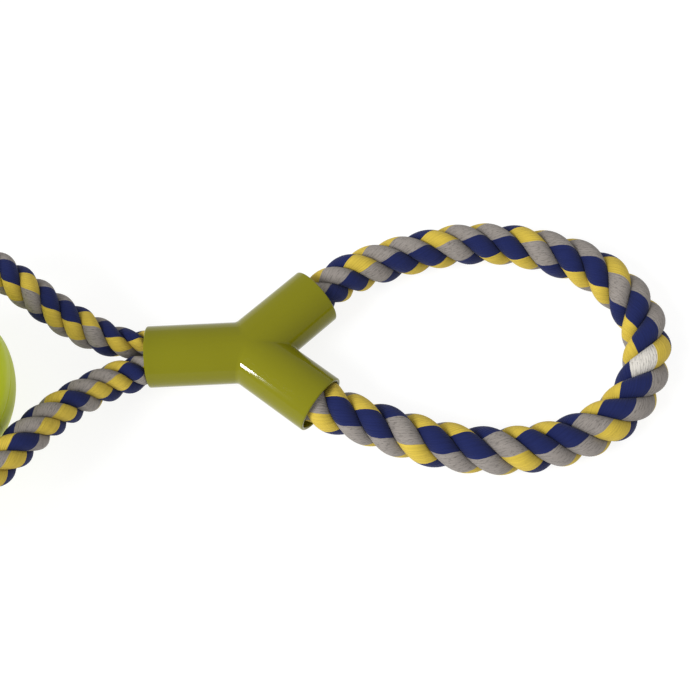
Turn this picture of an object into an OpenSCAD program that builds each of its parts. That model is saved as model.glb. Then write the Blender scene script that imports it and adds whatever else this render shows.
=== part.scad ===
// Rope tug toy: a hollow ball between two runs of twisted rope, with a Y-shaped coupler and a hand loop
// at each end. Millimetres. The origin is on the floor under the ball's centre, +X points to the
// right-hand loop and +Z is up. The toy looks the same after half a turn about the Z axis.

/* [Ball] */
// Outer diameter of the ball, which the runs' points clear up to 101
ball_d = 100; // [80:1:120]
// Wall of the hollow ball
ball_wall = 3; // [2:0.5:6]
// Depth of the narrow flat along the weld of the two halves
weld_flat = 0.4; // [0.2:0.1:1]

/* [Couplers] */
// Outer diameter of the stem
stem_d = 32; // [31:0.5:40]
// Outer diameter of both arms
arm_d = 31.4; // [30:0.2:39]
// Wall of the stem and of both arms
coupler_wall = 1.8; // [1.4:0.1:2.2]
// Width of the broken edge round each rim
rim_edge = 0.7; // [0.3:0.1:1.2]
// Length of the stem, from the fork to its mouth
stem_l = 51.5; // [42:0.5:62]
// Length of each arm, from the fork to its rim
arm_l = 48; // [40:1:58]
// Angle between an arm and the stem's line
arm_angle = 40; // [37:1:43]
// Distance from the ball's axis to a fork, along the toy
fork_x = 160; // [135:1:195]
// Distance from the ball's axis to a fork, across the toy
fork_y = 25; // [15:1:30]

/* [Rope] */
// Diameter of the rope in a hand loop, on the side that comes out of the far arm
loop_rope_d = 22; // [18:0.5:24]
// Diameter of the rope round the rest of a loop, where its strands open
bend_rope_d = 24; // [18:0.5:24]
// Diameter of the rope inside an arm
arm_rope_d = 21; // [16:0.5:22]
// Diameter of the rope in a run beside the ball
run_rope_d = 18.5; // [15:0.5:19]
// Gap between the two ropes where a stem holds them side by side
rope_gap = 0.8; // [0.5:0.1:2]
// Gap between the squeezed ropes and the stem's bore
stem_gap = 0.4; // [0.3:0.1:1]

/* [Hidden] */

$fn = 96;
rope_sides = 12;

ball_r = ball_d / 2;
stem_r = stem_d / 2;
arm_r = arm_d / 2;
fork_r = max(stem_r, arm_r);
bore_r = stem_r - coupler_wall;
arm_bore_r = arm_r - coupler_wall;
fork_overrun = 2;

// Inside a stem, each rope is squeezed to an oval beside the other one
squeezed_w = bore_r - stem_gap - rope_gap / 2;
squeezed_h = 1.45 * bore_r;
squeezed_y = (rope_gap + squeezed_w) / 2;
rope_joint_x = -stem_l / 2;

// Height of a rope's middle: inside the coupler, and where a loop lies on the floor
coupler_z = fork_r;
loop_z = 12;
between_d = (loop_rope_d + bend_rope_d) / 2;

lime = "#8c8f1e";
ball_lime = "#a0ab22";
rope_blue = "#2f3a78";

// A hand loop in its coupler's own frame, with the fork at [0, 0]: middle of the rope, width, height
loop_route = [
    [rope_joint_x, squeezed_y, coupler_z, squeezed_w, squeezed_h],
    [-14, squeezed_y, coupler_z, squeezed_w, squeezed_h],
    [3, squeezed_y, coupler_z, squeezed_w, squeezed_h],
    [10, 10.6, coupler_z, 15, 20],
    [17, 14.6, coupler_z, 18, 20],
    [24, 19.2, coupler_z, arm_rope_d, arm_rope_d],
    [37, 30, coupler_z, arm_rope_d, arm_rope_d],
    [52, 41.5, 15, loop_rope_d, loop_rope_d],
    [71, 50, 13, loop_rope_d, loop_rope_d],
    [94, 56.5, loop_z, loop_rope_d, loop_rope_d],
    [118, 60, loop_z, loop_rope_d, loop_rope_d],
    [142, 58.5, loop_z, loop_rope_d, loop_rope_d],
    [165, 52.3, loop_z, between_d, between_d],
    [186, 41.8, loop_z, bend_rope_d, bend_rope_d],
    [201.5, 25, loop_z, bend_rope_d, bend_rope_d],
    [209, 4, loop_z, bend_rope_d, bend_rope_d],
    [205.5, -18.5, loop_z, bend_rope_d, bend_rope_d],
    [193, -37.5, loop_z, bend_rope_d, bend_rope_d],
    [174, -50, loop_z, bend_rope_d, bend_rope_d],
    [149.5, -56.9, loop_z, bend_rope_d, bend_rope_d],
    [124, -58.3, loop_z, bend_rope_d, bend_rope_d],
    [98, -54.3, loop_z, bend_rope_d, bend_rope_d],
    [73, -45.9, 13, bend_rope_d, bend_rope_d],
    [54, -38.4, 15, between_d, between_d],
    [37, -29.4, coupler_z, between_d, between_d],
    [24, -18.6, coupler_z, arm_rope_d, arm_rope_d],
    [17, -14.6, coupler_z, 18, 20],
    [10, -10.6, coupler_z, 15, 20],
    [3, -squeezed_y, coupler_z, squeezed_w, squeezed_h],
    [-14, -squeezed_y, coupler_z, squeezed_w, squeezed_h],
    [rope_joint_x, -squeezed_y, coupler_z, squeezed_w, squeezed_h]
];

// The run behind the ball, from the left stem to the right one: middle of the rope, width, height
stem_mouth_x = fork_x - stem_l;
back_route = [
    [-fork_x - rope_joint_x, squeezed_y - fork_y, coupler_z, squeezed_w, squeezed_h],
    [-6 - stem_mouth_x, squeezed_y - fork_y, coupler_z, squeezed_w, squeezed_h],
    [1 - stem_mouth_x, squeezed_y - fork_y, coupler_z, squeezed_w, squeezed_h],
    [-104.5, -16.8, 16.2, 17, 19.5],
    [-96, -13.4, 18, run_rope_d, run_rope_d],
    [-86, -7.6, 22, run_rope_d, run_rope_d],
    [-74, 2.8, 29, run_rope_d, run_rope_d],
    [-63, 16, 37.5, run_rope_d, run_rope_d],
    [-51.4, 31.6, 44.5, run_rope_d, run_rope_d],
    [-39.6, 46.2, 48, run_rope_d, run_rope_d],
    [-26, 60.2, 50, run_rope_d, run_rope_d],
    [-8, 70, 50, run_rope_d, run_rope_d],
    [13, 71.8, 49, run_rope_d, run_rope_d],
    [33, 66, 46, run_rope_d, run_rope_d],
    [50, 55.2, 40, run_rope_d, run_rope_d],
    [66, 44.2, 32, run_rope_d, run_rope_d],
    [80, 36.8, 25, run_rope_d, run_rope_d],
    [94, 32.6, 19, 16, run_rope_d],
    [stem_mouth_x - 3, fork_y + squeezed_y, coupler_z, squeezed_w, squeezed_h],
    [stem_mouth_x + 6, fork_y + squeezed_y, coupler_z, squeezed_w, squeezed_h],
    [fork_x + rope_joint_x, fork_y + squeezed_y, coupler_z, squeezed_w, squeezed_h]
];

function unit(v) = v / norm(v);

function middle(row) = [row[0], row[1], row[2]];

// Direction of a route at row i
function heading(route, i) = unit(
    middle(route[min(i + 1, len(route) - 1)]) - middle(route[max(i - 1, 0)])
);

// Corner j of the ring round row i
function ring_corner(route, i, j) =
    let (
        along = heading(route, i),
        across = unit(cross([0, 0, 1], along)),
        upward = cross(along, across),
        turn = 360 * (j + 0.5) / rope_sides
    )
    middle(route[i])
        + route[i][3] / 2 * cos(turn) * across
        + route[i][4] / 2 * sin(turn) * upward;

// A plain rope: one closed skin through a ring of corners at each row of the route
module rope_along(route) {
    rings = len(route);
    last = (rings - 1) * rope_sides;
    corners = [
        for (i = [0 : rings - 1]) for (j = [0 : rope_sides - 1]) ring_corner(route, i, j)
    ];
    skin = [
        for (i = [0 : rings - 2]) for (j = [0 : rope_sides - 1])
            let (
                a = i * rope_sides + j,
                b = i * rope_sides + (j + 1) % rope_sides
            )
            each [[a, b, b + rope_sides], [a, b + rope_sides, a + rope_sides]]
    ];
    start_face = [for (j = [rope_sides - 1 : -1 : 0]) j];
    end_face = [for (j = [0 : rope_sides - 1]) last + j];
    polyhedron(points = corners, faces = concat([start_face], skin, [end_face]));
}

module at_right_fork() {
    translate([fork_x, fork_y, 0]) children();
}

module at_left_fork() {
    rotate([0, 0, 180]) at_right_fork() children();
}

// Lays a shape that stands on the fork along one of the coupler's three directions
module along_limb(angle) {
    translate([0, 0, coupler_z]) rotate([0, 0, angle]) rotate([0, 90, 0]) children();
}

// The outside of one limb, with its rim's outer edge broken
module limb_outside(angle, length, radius) {
    along_limb(angle) {
        cylinder(r = radius, h = length - rim_edge);
        translate([0, 0, length - rim_edge]) cylinder(r1 = radius, r2 = radius - rim_edge, h = rim_edge);
    }
}

// A bore through one limb, from a little past the fork to outside the rim
module limb_bore(angle, length, radius, past_fork) {
    along_limb(angle) translate([0, 0, -past_fork]) cylinder(r = radius, h = length + past_fork + 1);
}

// A ball as thick as the thickest limb fills the fork
module coupler() {
    color(lime) difference() {
        union() {
            limb_outside(180, stem_l, stem_r);
            translate([0, 0, coupler_z]) sphere(r = fork_r);
            limb_outside(arm_angle, arm_l, arm_r);
            limb_outside(-arm_angle, arm_l, arm_r);
        }
        limb_bore(180, stem_l, bore_r, fork_overrun);
        limb_bore(arm_angle, arm_l, arm_bore_r, 0);
        limb_bore(-arm_angle, arm_l, arm_bore_r, 0);
    }
}

module right_coupler() {
    at_right_fork() coupler();
}

module left_coupler() {
    at_left_fork() coupler();
}

module loop_rope() {
    color(rope_blue) rope_along(loop_route);
}

module right_loop_rope() {
    at_right_fork() loop_rope();
}

module left_loop_rope() {
    at_left_fork() loop_rope();
}

module back_run_rope() {
    color(rope_blue) rope_along(back_route);
}

module front_run_rope() {
    rotate([0, 0, 180]) back_run_rope();
}

// The whole hollow ball, standing on the floor
module ball_shell() {
    translate([0, 0, ball_r]) difference() {
        intersection() {
            sphere(r = ball_r);
            cylinder(r = ball_r - weld_flat, h = ball_d + 2, center = true);
        }
        sphere(r = ball_r - ball_wall);
    }
}

module ball_half(bottom_z) {
    color(ball_lime) intersection() {
        ball_shell();
        translate([0, 0, bottom_z]) cylinder(r = ball_d, h = ball_r);
    }
}

module ball_lower_half() {
    ball_half(0);
}

module ball_upper_half() {
    ball_half(ball_r);
}

right_coupler();
left_coupler();
right_loop_rope();
left_loop_rope();
back_run_rope();
front_run_rope();
ball_lower_half();
ball_upper_half();
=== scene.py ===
# %% [markdown]
# # A rope tug toy with a ball
# The toy is a hollow ball between two runs of three-strand rope. At each end a Y-shaped coupler
# gathers the runs, and a hand loop comes out of its arms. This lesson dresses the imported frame:
# camera first, then the ropes, the couplers, the ball and the light.

# %% Load the frame
import math

import bpy
import numpy as np
from mathutils import Matrix, Vector


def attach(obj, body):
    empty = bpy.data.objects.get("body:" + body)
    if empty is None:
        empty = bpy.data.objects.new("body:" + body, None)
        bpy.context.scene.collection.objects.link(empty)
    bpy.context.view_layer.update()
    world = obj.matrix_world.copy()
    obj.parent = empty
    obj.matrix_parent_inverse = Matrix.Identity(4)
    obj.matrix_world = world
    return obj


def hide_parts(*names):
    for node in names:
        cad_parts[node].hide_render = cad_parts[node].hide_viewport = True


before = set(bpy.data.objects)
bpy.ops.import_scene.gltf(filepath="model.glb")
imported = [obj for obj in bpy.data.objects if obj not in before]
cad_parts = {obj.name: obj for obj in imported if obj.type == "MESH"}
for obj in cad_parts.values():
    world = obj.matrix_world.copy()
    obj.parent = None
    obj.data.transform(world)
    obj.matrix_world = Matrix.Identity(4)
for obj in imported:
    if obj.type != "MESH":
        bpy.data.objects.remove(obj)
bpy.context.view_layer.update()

# %% [markdown]
# ## The camera
# The toy lies on a white ground and is seen from steeply above, from the side nearest to us. A
# camera is a place and a direction, so we name the point it looks at, how high above the horizon
# it stands and how far away, and turn it with a track quaternion.

# %% Set the camera
LOOK_AT = Vector((0.2129, 0.0237, 0.016))
CAMERA_ELEVATION = math.radians(67)
CAMERA_TURN = math.radians(-2.9)
CAMERA_DISTANCE = 0.528
CAMERA_LENS = 52.25

sight = Vector((
    -math.sin(CAMERA_TURN) * math.cos(CAMERA_ELEVATION),
    math.cos(CAMERA_TURN) * math.cos(CAMERA_ELEVATION),
    -math.sin(CAMERA_ELEVATION),
))
camera_data = bpy.data.cameras.new("camera")
camera_data.sensor_width = 36
camera_data.lens = CAMERA_LENS
camera = bpy.data.objects.new("camera", camera_data)
bpy.context.scene.collection.objects.link(camera)
camera.location = LOOK_AT - sight * CAMERA_DISTANCE
camera.rotation_euler = sight.to_track_quat("-Z", "Y").to_euler()
bpy.context.scene.camera = camera
print("camera at", tuple(round(value, 3) for value in camera.location))

# %% [markdown]
# ## The rope's route
# The route of each rope is a short list of rows: the middle of the rope, its width and
# its height, in metres. The hand loop is written in its coupler's own frame, with the fork at
# zero. Inside the stem two ropes are squeezed to ovals side by side, and at the near arm's mouth
# the strands open to an oval of their own.

# %% Sizes that the ropes share
FORK_X = 0.160
FORK_Y = 0.025
FORK_Z = 0.016
STEM_LENGTH = 0.0515
SQUEEZED_Y = 0.0071
SQUEEZED = (0.0134, 0.0206)
ROPE_CUT_X = -STEM_LENGTH / 2
STEM_MOUTH_X = FORK_X - STEM_LENGTH

LOOP_D = 0.022
BEND_D = 0.024
BETWEEN_D = 0.023
ARM_D = 0.021
RUN_D = 0.0185
MOUTH = (0.025, 0.0245)

# %% Rows of a hand loop and of the back run
LOOP_ROWS = [
    (ROPE_CUT_X, SQUEEZED_Y, FORK_Z, *SQUEEZED),
    (-0.014, SQUEEZED_Y, FORK_Z, *SQUEEZED),
    (0.003, SQUEEZED_Y, FORK_Z, *SQUEEZED),
    (0.010, 0.0106, FORK_Z, 0.015, 0.020),
    (0.017, 0.0146, FORK_Z, 0.018, 0.020),
    (0.024, 0.0192, FORK_Z, ARM_D, ARM_D),
    (0.037, 0.030, FORK_Z, ARM_D, ARM_D),
    (0.052, 0.0415, 0.015, LOOP_D, LOOP_D),
    (0.071, 0.050, 0.013, LOOP_D, LOOP_D),
    (0.094, 0.0565, 0.012, LOOP_D, LOOP_D),
    (0.118, 0.060, 0.012, LOOP_D, LOOP_D),
    (0.142, 0.0585, 0.012, LOOP_D, LOOP_D),
    (0.165, 0.0523, 0.012, BETWEEN_D, BETWEEN_D),
    (0.186, 0.0418, 0.012, BEND_D, BEND_D),
    (0.2015, 0.025, 0.012, BEND_D, BEND_D),
    (0.209, 0.004, 0.012, BEND_D, BEND_D),
    (0.2055, -0.0185, 0.012, BEND_D, BEND_D),
    (0.193, -0.0375, 0.012, BEND_D, BEND_D),
    (0.174, -0.050, 0.012, BEND_D, BEND_D),
    (0.1495, -0.0569, 0.012, BEND_D, BEND_D),
    (0.124, -0.0583, 0.012, BEND_D, BEND_D),
    (0.098, -0.0543, 0.012, BEND_D, BEND_D),
    (0.073, -0.0459, 0.013, BEND_D, BEND_D),
    (0.054, -0.0384, 0.015, BETWEEN_D, BETWEEN_D),
    (0.037, -0.0300, FORK_Z, *MOUTH),
    (0.024, -0.0186, FORK_Z, ARM_D, ARM_D),
    (0.017, -0.0146, FORK_Z, 0.018, 0.020),
    (0.010, -0.0106, FORK_Z, 0.015, 0.020),
    (0.003, -SQUEEZED_Y, FORK_Z, *SQUEEZED),
    (-0.014, -SQUEEZED_Y, FORK_Z, *SQUEEZED),
    (ROPE_CUT_X, -SQUEEZED_Y, FORK_Z, *SQUEEZED),
]
BACK_RUN_ROWS = [
    (-FORK_X - ROPE_CUT_X, SQUEEZED_Y - FORK_Y, FORK_Z, *SQUEEZED),
    (-0.006 - STEM_MOUTH_X, SQUEEZED_Y - FORK_Y, FORK_Z, *SQUEEZED),
    (0.001 - STEM_MOUTH_X, SQUEEZED_Y - FORK_Y, FORK_Z, *SQUEEZED),
    (-0.1045, -0.0168, 0.0162, 0.017, 0.0195),
    (-0.096, -0.0134, 0.018, RUN_D, RUN_D),
    (-0.086, -0.0076, 0.022, RUN_D, RUN_D),
    (-0.074, 0.0028, 0.029, RUN_D, RUN_D),
    (-0.063, 0.016, 0.0375, RUN_D, RUN_D),
    (-0.0514, 0.0316, 0.0445, RUN_D, RUN_D),
    (-0.0396, 0.0462, 0.048, RUN_D, RUN_D),
    (-0.026, 0.0602, 0.050, RUN_D, RUN_D),
    (-0.008, 0.070, 0.050, RUN_D, RUN_D),
    (0.013, 0.0718, 0.049, RUN_D, RUN_D),
    (0.033, 0.066, 0.046, RUN_D, RUN_D),
    (0.050, 0.0552, 0.040, RUN_D, RUN_D),
    (0.066, 0.0442, 0.032, RUN_D, RUN_D),
    (0.080, 0.0368, 0.025, RUN_D, RUN_D),
    (0.094, 0.0326, 0.019, 0.016, RUN_D),
    (STEM_MOUTH_X - 0.003, FORK_Y + SQUEEZED_Y, FORK_Z, *SQUEEZED),
    (STEM_MOUTH_X + 0.006, FORK_Y + SQUEEZED_Y, FORK_Z, *SQUEEZED),
    (FORK_X + ROPE_CUT_X, FORK_Y + SQUEEZED_Y, FORK_Z, *SQUEEZED),
]

# %% Place rows in the toy's frame
def moved_to_fork(rows):
    return [(x + FORK_X, y + FORK_Y, *rest) for x, y, *rest in rows]


def half_turned(rows):
    return [(-x, -y, *rest) for x, y, *rest in rows]


# %% [markdown]
# ## From rows to a smooth path
# A curve through the rows has to keep to them where they are close and not swing wide where they
# are far apart. A centripetal Catmull-Rom curve does that. It is sampled at even steps, so that
# the strands wind evenly round it.

# %% Smooth a route
PATH_STEP = 0.0012
STEPS_BETWEEN_ROWS = 40


def smooth_path(rows):
    """Points at even steps along a smooth curve through the rows, with width and height."""
    table = np.array(rows, float)
    table = np.vstack([2 * table[0] - table[1], table, 2 * table[-1] - table[-2]])
    gaps = np.sqrt(np.linalg.norm(np.diff(table[:, :3], axis=0), axis=1))
    knots = np.concatenate([[0], np.cumsum(gaps)])[:, None]
    pieces = []
    for i in range(1, len(table) - 2):
        t = np.linspace(knots[i], knots[i + 1], STEPS_BETWEEN_ROWS, endpoint=False)
        a = [
            (knots[k + 1] - t) / (knots[k + 1] - knots[k]) * table[k]
            + (t - knots[k]) / (knots[k + 1] - knots[k]) * table[k + 1]
            for k in (i - 1, i, i + 1)
        ]
        b = [
            (knots[k + 2] - t) / (knots[k + 2] - knots[k]) * a[n]
            + (t - knots[k]) / (knots[k + 2] - knots[k]) * a[n + 1]
            for n, k in enumerate((i - 1, i))
        ]
        pieces.append(
            (knots[i + 1] - t) / (knots[i + 1] - knots[i]) * b[0]
            + (t - knots[i]) / (knots[i + 1] - knots[i]) * b[1]
        )
    curve = np.vstack([*pieces, table[-2:-1]])
    hops = np.linalg.norm(np.diff(curve[:, :3], axis=0), axis=1)
    along = np.concatenate([[0], np.cumsum(hops)])
    steps = np.linspace(0, along[-1], round(along[-1] / PATH_STEP) + 1)
    even = np.stack([np.interp(steps, along, column) for column in curve.T], axis=1)
    return even, steps


def path_axes(points):
    """Forward, sideways and upward directions at each point of a path."""
    forward = np.gradient(points, axis=0)
    forward /= np.linalg.norm(forward, axis=1)[:, None]
    sideways = np.cross((0, 0, 1), forward)
    sideways /= np.linalg.norm(sideways, axis=1)[:, None]
    return forward, sideways, np.cross(forward, sideways)


# %% [markdown]
# ## Three strands laid into a rope
# A tube with a striped picture would never show the deep creases of a twisted rope. Each strand
# is made as its own winding surface instead. Seen end on, a strand is a fat oval pressed flat
# against its two neighbours, so it fills a third of the circle and bulges outwards as a crown.
# Where a crown would dip under the ground it is pressed flat on it, as a soft rope is.

# %% The outline of one strand
STRAND_CORNERS = 30
STRAND_OUT = 0.475
STRAND_DEEP = 0.545
STRAND_WIDE = 0.615
STRAND_GAP = 0.012


def strand_outline():
    """Corners of a strand seen end on, in a rope of radius 1, outwards along x."""
    turn = 2 * math.pi * (np.arange(STRAND_CORNERS) + 0.5) / STRAND_CORNERS + math.pi
    x = STRAND_OUT + STRAND_DEEP * np.cos(turn)
    y = STRAND_WIDE * np.sin(turn)
    for side in (1, -1):
        wall = np.array((-math.sin(math.pi / 3), side * math.cos(math.pi / 3)))
        past = np.maximum(x * wall[0] + y * wall[1] + STRAND_GAP, 0)
        x = x - past * wall[0]
        y = y - past * wall[1]
    return x, y, turn


# %% Wind three strands along a path
STRAND_TWIST = 2.05
ODD_STRAND = 2
SMOOTHING_STEPS = 12


def strand_turn(along, turns):
    """Angle of the first strand, read off a table of (length along the rope, degrees)."""
    places, degrees = zip(*turns)
    angle = np.radians(np.interp(along, places, degrees))
    weights = np.ones(2 * SMOOTHING_STEPS + 1) / (2 * SMOOTHING_STEPS + 1)
    ends = (
        angle[0] - (angle[1] - angle[0]) * np.arange(SMOOTHING_STEPS, 0, -1),
        angle[-1] + (angle[-1] - angle[-2]) * np.arange(1, SMOOTHING_STEPS + 1),
    )
    return np.convolve(np.concatenate([ends[0], angle, ends[1]]), weights, "valid")


def laid_rope(name, rows, turns, colour_shift, odd_shift, undyed=None):
    """A three-strand rope. Its colours start at colour_shift, its odd strand's odd_shift later."""
    table, along = smooth_path(rows)
    forward, sideways, upward = path_axes(table[:, :3])
    turn = strand_turn(along, turns)
    out_x, out_y, local = strand_outline()
    corners, faces, yarn, crown, white = [], [], [], [], []
    rings = len(along)
    for strand in range(3):
        angle = turn + strand * 2 * math.pi / 3
        across = np.cos(angle)[:, None] * out_x - np.sin(angle)[:, None] * out_y
        up = np.sin(angle)[:, None] * out_x + np.cos(angle)[:, None] * out_y
        points = (
            table[:, None, :3]
            + (across * table[:, 3:4] / 2)[..., None] * sideways[:, None]
            + (up * table[:, 4:5] / 2)[..., None] * upward[:, None]
        )
        points[..., 2] = np.maximum(points[..., 2], 0)
        first = len(corners) * rings * STRAND_CORNERS
        corners.append(points.reshape(-1, 3))
        # Height of each outline corner above the creases, read by the yarn finish for painted shade
        # in the creases.
        crown.append(np.tile(np.hypot(out_x, out_y), rings))
        patch = np.zeros(rings)
        if undyed and strand == ODD_STRAND:
            patch[(along > undyed[0]) & (along < undyed[1])] = 1
        white.append(np.repeat(patch, STRAND_CORNERS))
        around = (STRAND_TWIST * angle[:, None] + local) / (2 * math.pi)
        around = around + colour_shift + (odd_shift if strand == ODD_STRAND else 0)
        for ring in range(rings - 1):
            here = first + ring * STRAND_CORNERS
            for corner in range(STRAND_CORNERS):
                after = (corner + 1) % STRAND_CORNERS
                faces.append((
                    here + corner,
                    here + after,
                    here + after + STRAND_CORNERS,
                    here + corner + STRAND_CORNERS,
                ))
                lap = 1.0 if after == 0 else 0.0
                yarn += [
                    (along[ring], around[ring, corner]),
                    (along[ring], around[ring, after] + lap),
                    (along[ring + 1], around[ring + 1, after] + lap),
                    (along[ring + 1], around[ring + 1, corner]),
                ]
        for ring, order in ((0, -1), (rings - 1, 1)):
            here = first + ring * STRAND_CORNERS
            faces.append([here + corner for corner in range(STRAND_CORNERS)][::order])
            yarn += [(along[ring], 0.0)] * STRAND_CORNERS
    mesh = bpy.data.meshes.new(name)
    mesh.from_pydata(np.vstack(corners).tolist(), [], faces)
    layer = mesh.uv_layers.new(name="yarn")
    layer.data.foreach_set("uv", np.array(yarn, "f").ravel())
    for attribute, values in (("crown", crown), ("undyed", white)):
        layer = mesh.attributes.new(attribute, "FLOAT", "POINT")
        layer.data.foreach_set("value", np.concatenate(values))
    mesh.shade_smooth()
    rope = bpy.data.objects.new(name, mesh)
    bpy.context.scene.collection.objects.link(rope)
    return rope, table[:, :3], along[-1]


# %% [markdown]
# ## The four ropes
# One endless rope is cut, in the model, inside the stems where nobody sees it. That gives two
# hand loops and two runs. The left half of the toy is the right half turned half round. The tables
# of turns give the angle of the first strand at places along a rope, because a real rope isn't
# twisted evenly.

# %% Lay the ropes
LOOP_TURNS = [
    (0.0, -953), (0.073, -369), (0.1007, -124), (0.1499, 238), (0.199, 600), (0.2506, 958),
    (0.2962, 1301), (0.3429, 1640), (0.3885, 1993), (0.4412, 2352), (0.475, 2592), (0.557, 3240),
]
BACK_TURNS = [(0.0, -2526), (0.2354, -138), (0.2715, 227), (0.3266, 787)]
FRONT_TURNS = [(0.0, -523), (0.0324, -175), (0.0697, 182), (0.1045, 544), (0.3266, 2797)]
UNDYED = (0.284, 0.309)

right_loop_rows = moved_to_fork(LOOP_ROWS)
rope_plan = {
    "right_loop": (right_loop_rows, LOOP_TURNS, 0.04, -0.40, UNDYED, LOOP_D),
    "left_loop": (half_turned(right_loop_rows), LOOP_TURNS, 0.24, -0.40, None, LOOP_D),
    "back_run": (BACK_RUN_ROWS, BACK_TURNS, 0.40, 0.34, None, RUN_D),
    "front_run": (half_turned(BACK_RUN_ROWS), FRONT_TURNS, -0.14, -0.48, None, RUN_D),
}
ropes = {}
for name, (rows, turns, colour_shift, odd_shift, undyed, diameter) in rope_plan.items():
    rope, path, length = laid_rope(name, rows, turns, colour_shift, odd_shift, undyed)
    ropes[name] = rope
    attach(rope, "rope")
    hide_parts(name + "_rope")
    exit_end = -1 if name == "back_run" else 0
    [tuple(point) for point in path[::4]] + [tuple(path[-1])]
    print(name, "is", round(length, 3), "m long with", len(rope.data.polygons), "faces")

# %% [markdown]
# ## Writing a finish as a sum
# A finish is easier to read as arithmetic than as wires. The class below wraps an output of a
# node, so that an expression such as `1 - mask * 0.2` adds its own Math nodes.

# %% A value in a finish, and the finish itself
class Value:
    def __init__(self, finish, socket):
        self.finish = finish
        self.socket = socket

    def maths(self, operation, *numbers):
        inputs = dict(enumerate(numbers))
        return self.finish.node("Math", {"operation": operation}, inputs)

    def __add__(self, other):
        return self.maths("ADD", self, other)

    __radd__ = __add__

    def __mul__(self, other):
        return self.maths("MULTIPLY", self, other)

    __rmul__ = __mul__

    def __sub__(self, other):
        return self.maths("SUBTRACT", self, other)

    def __rsub__(self, other):
        return self.maths("SUBTRACT", other, self)

    def __gt__(self, other):
        return self.maths("GREATER_THAN", self, other)

    def __lt__(self, other):
        return self.maths("LESS_THAN", self, other)

    def fraction(self):
        return self.maths("FRACT", self)

    def sine(self):
        return self.maths("SINE", self)

    def size(self):
        return self.maths("ABSOLUTE", self)


class Finish:
    def __init__(self, name, constants):
        self.material = bpy.data.materials.new(name)
        self.material.use_nodes = True
        self.tree = self.material.node_tree
        self.shader = next(n for n in self.tree.nodes if n.type == "BSDF_PRINCIPLED")
        for socket_name, value in constants.items():
            self.shader.inputs[socket_name].default_value = value

    def feed(self, socket, value):
        if isinstance(value, Value):
            self.tree.links.new(value.socket, socket)
        else:
            socket.default_value = value

    def node(self, kind, settings=None, inputs=None, output=0):
        made = self.tree.nodes.new("ShaderNode" + kind)
        for name, setting in (settings or {}).items():
            setattr(made, name, setting)
        for name, value in (inputs or {}).items():
            self.feed(made.inputs[name], value)
        return Value(self, made.outputs[output])

    def mix(self, amount, first, second):
        return self.node("Mix", {"data_type": "RGBA"}, {0: amount, 6: first, 7: second}, 2)

    def noise(self, place, scale, detail=2.0):
        return self.node("TexNoise", {}, {"Vector": place, "Scale": scale, "Detail": detail})

    def set(self, name, value):
        self.feed(self.shader.inputs[name], value)

    def bump(self, height, distance, strength=1.0):
        inputs = {"Height": height, "Distance": distance, "Strength": strength}
        self.set("Normal", self.node("Bump", {}, inputs))


def rgb(red, green, blue):
    return (red, green, blue, 1.0)


# %% [markdown]
# ## The rope's yarn
# Every strand is a bundle of yarns in three colours, and the yarns run almost straight along the
# rope while the strand winds. The rope's own map gives the length along it and the yarn's place
# round its strand, so the second number alone picks the colour, and fine ribs follow it too. One
# short patch near the end of the right loop was never dyed. Painted shade darkens each strand
# from its crown down into the creases between strands.

# %% Make the yarn
YELLOW = rgb(0.57, 0.42, 0.055)
GREY = rgb(0.27, 0.243, 0.222)
NAVY = rgb(0.010, 0.016, 0.084)
WHITE = rgb(0.62, 0.59, 0.54)
GREY_FROM = 0.29
NAVY_FROM = 0.64
YARNS_ROUND = 30
YARN_RELIEF = 0.0005

yarn = Finish("rope_yarn", {
    "Roughness": 0.85,
    "Specular IOR Level": 0.25,
    "Sheen Weight": 0.05,
    "Sheen Roughness": 0.5,
})
laid_map = yarn.node("UVMap", {"uv_map": "yarn"})
split = yarn.tree.nodes.new("ShaderNodeSeparateXYZ")
yarn.feed(split.inputs[0], laid_map)
length_along = Value(yarn, split.outputs[0])
place_round = Value(yarn, split.outputs[1])
object_place = yarn.node("TexCoord", output=3)
wander = yarn.noise(object_place, 90.0) - 0.5
band = (place_round + wander * 0.03).fraction()
is_grey = (band > GREY_FROM) * (band < NAVY_FROM)
is_navy = band > NAVY_FROM
streak_place = yarn.node("CombineXYZ", {}, {0: length_along * 60.0, 1: place_round * 42.0})
streaks = yarn.noise(streak_place, 1.0, 4.0)
fleck_place = yarn.node("CombineXYZ", {}, {0: length_along * 420.0, 1: place_round * 70.0})
flecks = yarn.noise(fleck_place, 1.0, 3.0)
undyed_patch = yarn.node("Attribute", {"attribute_name": "undyed"}, output=2)
crown_height = yarn.node("Attribute", {"attribute_name": "crown"}, output=2)
dyed = yarn.mix(is_navy, yarn.mix(is_grey, YELLOW, GREY), NAVY)
dyed = yarn.mix(is_grey * (undyed_patch > 0.5), dyed, WHITE)
fleck_tone = 1 - (flecks > 0.58) * is_grey * 0.32
# The yarns' own streaks and heather flecks, times a painted shade that darkens each strand from its
# crown down into the creases between strands.
streak_fleck_and_crease_shade = (0.72 + streaks * 0.56) * fleck_tone * (0.35 + crown_height * 0.65)
tinted = yarn.node("VectorMath", {"operation": "SCALE"}, {0: dyed, "Scale": streak_fleck_and_crease_shade})
yarn.set("Base Color", tinted)
ribs = (place_round * (math.pi * YARNS_ROUND)).sine().size()
yarn.bump(ribs * 0.5 + streaks * 0.6 + flecks * 0.25, YARN_RELIEF, 0.6)
for rope in ropes.values():
    rope.data.materials.append(yarn.material)

# %% [markdown]
# ## The couplers
# A coupler is one moulding of three short tubes. By hand we would cut each tube at its two mitre
# planes, weld the three at the fork, give the skin a wall and round its edges. A boolean would
# leave slivers along the creases, so bisect and merge are used instead.

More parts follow.
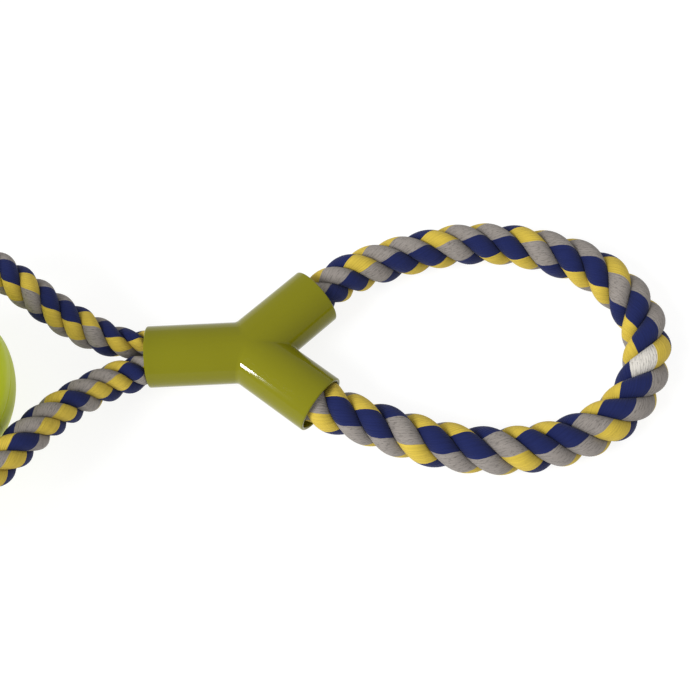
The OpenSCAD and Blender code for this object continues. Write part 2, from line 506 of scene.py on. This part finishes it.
# %% Model one coupler
COUPLER_R = 0.016
COUPLER_WALL = 0.0018
ARM_LENGTH = 0.048
ARM_ANGLE = math.radians(40)
STEM_MITRE = (math.pi + ARM_ANGLE) / 2
TUBE_SIDES = 96
PAST_THE_FORK = 0.02
CREASE = 0.0012
RIM_EDGE = 0.0008


def select_nothing():
    if bpy.context.object and bpy.context.object.mode != "OBJECT":
        bpy.ops.object.mode_set(mode="OBJECT")
    bpy.ops.object.select_all(action="DESELECT")


def make_active(piece):
    select_nothing()
    bpy.context.view_layer.objects.active = piece
    piece.select_set(True)


def add_modifier(piece, name, kind, **settings):
    make_active(piece)
    modifier = piece.modifiers.new(name, kind)
    for key, value in settings.items():
        setattr(modifier, key, value)
    bpy.ops.object.modifier_apply(modifier=name)


def mitred_tube(angle, length, mitres):
    """An open tube from the fork, along the floor plane at this angle, cut at its mitre planes."""
    select_nothing()
    bpy.ops.mesh.primitive_cylinder_add(
        vertices=TUBE_SIDES,
        radius=COUPLER_R,
        depth=length + PAST_THE_FORK,
        end_fill_type="NOTHING",
    )
    tube = bpy.context.object
    lay_down = Matrix.Rotation(angle, 4, "Z") @ Matrix.Rotation(math.pi / 2, 4, "Y")
    tube.data.transform(lay_down @ Matrix.Translation((0, 0, (length - PAST_THE_FORK) / 2)))
    for mitre, keep in mitres:
        bpy.ops.object.mode_set(mode="EDIT")
        bpy.ops.mesh.select_all(action="SELECT")
        normal = (-math.sin(mitre) * keep, math.cos(mitre) * keep, 0)
        bpy.ops.mesh.bisect(plane_co=(0, 0, 0), plane_no=normal, clear_inner=True)
        bpy.ops.object.mode_set(mode="OBJECT")
    return tube


limbs = [
    mitred_tube(math.pi, STEM_LENGTH, ((STEM_MITRE, 1), (-STEM_MITRE, -1))),
    mitred_tube(ARM_ANGLE, ARM_LENGTH, ((0, 1), (STEM_MITRE, -1))),
    mitred_tube(-ARM_ANGLE, ARM_LENGTH, ((-STEM_MITRE, 1), (0, -1))),
]
select_nothing()
for limb in limbs:
    limb.select_set(True)
bpy.context.view_layer.objects.active = limbs[0]
bpy.ops.object.join()
right_coupler = bpy.context.object
bpy.ops.object.mode_set(mode="EDIT")
bpy.ops.mesh.select_all(action="SELECT")
bpy.ops.mesh.remove_doubles(threshold=0.00002)
bpy.ops.mesh.normals_make_consistent(inside=False)
bpy.ops.object.mode_set(mode="OBJECT")
print("coupler skin:", len(right_coupler.data.polygons), "faces")

# %% [markdown]
# The long faces of a tube end at a narrow bevel by the fork. Plain smooth shading would tilt their
# normals all the way to the rim, and a reflection would slide off. Weighted normals let the large
# faces decide, so the tube shades as a true round and the bevel takes the whole bend.

# %% Give the coupler its wall and round its edges
add_modifier(right_coupler, "creases", "BEVEL", width=CREASE, segments=3,
             limit_method="ANGLE", angle_limit=math.radians(8), use_clamp_overlap=True)
add_modifier(right_coupler, "wall", "SOLIDIFY", thickness=COUPLER_WALL, offset=-1,
             use_even_offset=True)
add_modifier(right_coupler, "rims", "BEVEL", width=RIM_EDGE, segments=4,
             limit_method="ANGLE", angle_limit=math.radians(60))
make_active(right_coupler)
bpy.ops.object.shade_smooth_by_angle(angle=math.radians(30))
add_modifier(right_coupler, "round_shading", "WEIGHTED_NORMAL", weight=100, keep_sharp=True)
right_coupler.data.transform(Matrix.Translation((FORK_X, FORK_Y, FORK_Z)))
right_coupler.name = "right_coupler_shell"
left_coupler = bpy.data.objects.new("left_coupler_shell", right_coupler.data.copy())
bpy.context.scene.collection.objects.link(left_coupler)
left_coupler.data.transform(Matrix.Rotation(math.pi, 4, "Z"))
for shell, body in ((right_coupler, "right_coupler"), (left_coupler, "left_coupler")):
    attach(shell, body)
    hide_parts(body)
print("coupler:", len(right_coupler.data.polygons), "faces")

# %% [markdown]
# ## The moulded plastics
# Both plastics are lime green. The coupler is polished and shows a sharp glint of light, so only a
# faint waviness breaks its surface. The ball is paler, softer and duller.

# %% Make the two plastics
def lime_plastic(name, deep, light, roughness, wave, distance):
    plastic = Finish(name, {"Specular IOR Level": 0.2})
    place = plastic.node("TexCoord", output=3)
    clouds = plastic.noise(place, 28.0, 3.0)
    plastic.set("Base Color", plastic.mix(clouds, deep, light))
    plastic.set("Roughness", roughness + (plastic.noise(place, 160.0) - 0.5) * 0.05)
    plastic.bump(plastic.noise(place, wave, 1.0), distance)
    return plastic.material


coupler_plastic = lime_plastic(
    "coupler_plastic", rgb(0.175, 0.167, 0.003), rgb(0.195, 0.190, 0.005), 0.07, 120.0, 0.00001)
ball_plastic = lime_plastic(
    "ball_plastic", rgb(0.52, 0.60, 0.008), rgb(0.56, 0.64, 0.012), 0.45, 400.0, 0.00006)
for shell in (right_coupler, left_coupler):
    shell.data.materials.clear()
    shell.data.materials.append(coupler_plastic)

# %% [markdown]
# ## The ball
# The ball is two hollow halves welded along a narrow flat. A sphere is cut at its middle, the
# band near the cut is pressed flat, and each half gets its wall.

# %% Model the two halves
BALL_R = 0.050
BALL_WALL = 0.003
WELD_FLAT = 0.0004


def ball_half(name, node, keep):
    select_nothing()
    bpy.ops.mesh.primitive_uv_sphere_add(segments=128, ring_count=96, radius=BALL_R)
    half = bpy.context.object
    half.name = name
    bpy.ops.object.mode_set(mode="EDIT")
    bpy.ops.mesh.select_all(action="SELECT")
    bpy.ops.mesh.bisect(plane_co=(0, 0, 0), plane_no=(0, 0, keep), clear_inner=True)
    bpy.ops.object.mode_set(mode="OBJECT")
    for corner in half.data.vertices:
        out = math.hypot(corner.co.x, corner.co.y)
        if out > BALL_R - WELD_FLAT:
            corner.co.xy *= (BALL_R - WELD_FLAT) / out
    add_modifier(half, "wall", "SOLIDIFY", thickness=BALL_WALL, offset=-1)
    add_modifier(half, "edge", "BEVEL", width=0.0002, segments=2,
                 limit_method="ANGLE", angle_limit=math.radians(60))
    half.data.transform(Matrix.Translation((0, 0, BALL_R)))
    make_active(half)
    bpy.ops.object.shade_smooth_by_angle(angle=math.radians(35))
    half.data.materials.append(ball_plastic)
    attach(half, "ball")
    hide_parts(node)
    print(name, "has", len(half.data.polygons), "faces")


ball_half("upper_half", "ball_upper_half", 1)
ball_half("lower_half", "ball_lower_half", -1)

# %% [markdown]
# ## Ground and light
# The ground is plain and pale, and glows a little so that shadows on it stay faint. A big soft lamp
# gives the shading but no reflection. A window slit, low on the same side, gives only the glint
# on the polished couplers. An even sky fills the rest.

# %% Lay the ground and hang the lamps
GROUND_GLOW = 0.85
LAMP_TARGET = Vector((0.15, 0, 0))
SKY_LIGHT = 0.65

select_nothing()
bpy.ops.mesh.primitive_plane_add(size=6, location=(0, 0, 0))
ground = bpy.context.object
ground.name = "ground"
paper = Finish("ground_paper", {"Base Color": rgb(0.20, 0.20, 0.20), "Roughness": 0.9})
paper.set("Emission Color", rgb(1, 1, 1))
paper.set("Emission Strength", GROUND_GLOW)
ground.data.materials.append(paper.material)


def hang_lamp(name, place, width, height, power):
    select_nothing()
    bpy.ops.object.light_add(type="AREA", location=place)
    lamp = bpy.context.object
    lamp.name = name
    lamp.data.shape = "RECTANGLE"
    lamp.data.size = width
    lamp.data.size_y = height
    lamp.data.energy = power
    aim = LAMP_TARGET - Vector(place)
    lamp.rotation_euler = aim.to_track_quat("-Z", "Y").to_euler()
    print(name, "at", place)
    return lamp


key_lamp = hang_lamp("key_lamp", (-1.1, -0.6, 1.25), 0.8, 0.8, 30)
key_lamp.visible_glossy = False
window_slit = hang_lamp("window_slit", (-1.047, -0.715, 0.535), 0.036, 0.28, 4)
window_slit.visible_diffuse = False
world = bpy.data.worlds.new("sky")
bpy.context.scene.world = world
world.use_nodes = True
sky = world.node_tree.nodes["Background"]
sky.inputs["Color"].default_value = rgb(1, 1, 1)
sky.inputs["Strength"].default_value = SKY_LIGHT
bpy.context.scene.view_settings.view_transform = "Standard"
